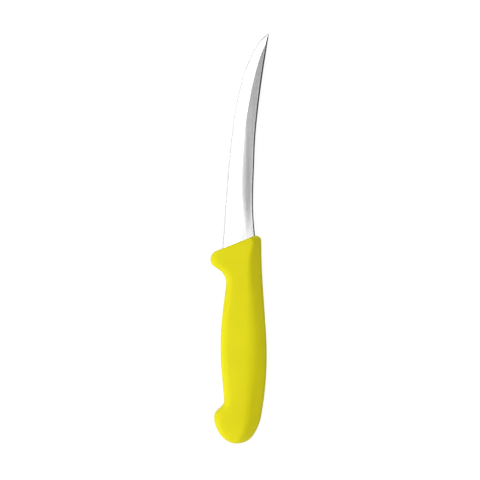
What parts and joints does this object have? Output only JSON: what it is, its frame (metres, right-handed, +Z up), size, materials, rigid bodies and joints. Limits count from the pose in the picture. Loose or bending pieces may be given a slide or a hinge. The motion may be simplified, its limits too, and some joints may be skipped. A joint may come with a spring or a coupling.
{
  "type": "boning knife",
  "caption": "Curved boning knife for butchers: a ground steel blade with a hidden tang, moulded into a soft yellow grip with a finger guard and a hooked butt.",
  "frame": {"origin": "middle of the overall length and width, on the plane that the knife's side rests on", "axes": "+X along the knife from the butt to the tip, +Y towards the cutting edge, +Z up through the thickness, with the knife lying on its side"},
  "size_m": [0.2782, 0.0395, 0.019],
  "materials": {
    "blade_steel": "fine ground, satin on the flats and brighter on the bevel",
    "core_plastic": "plain moulded, hidden under the skin",
    "grip_plastic": "matte bright yellow, lightly textured moulding"
  },
  "bodies": {
    "root": {"blade": "blade_steel", "handle_core": "core_plastic", "grip_skin": "grip_plastic"}
  },
  "joints": []
}
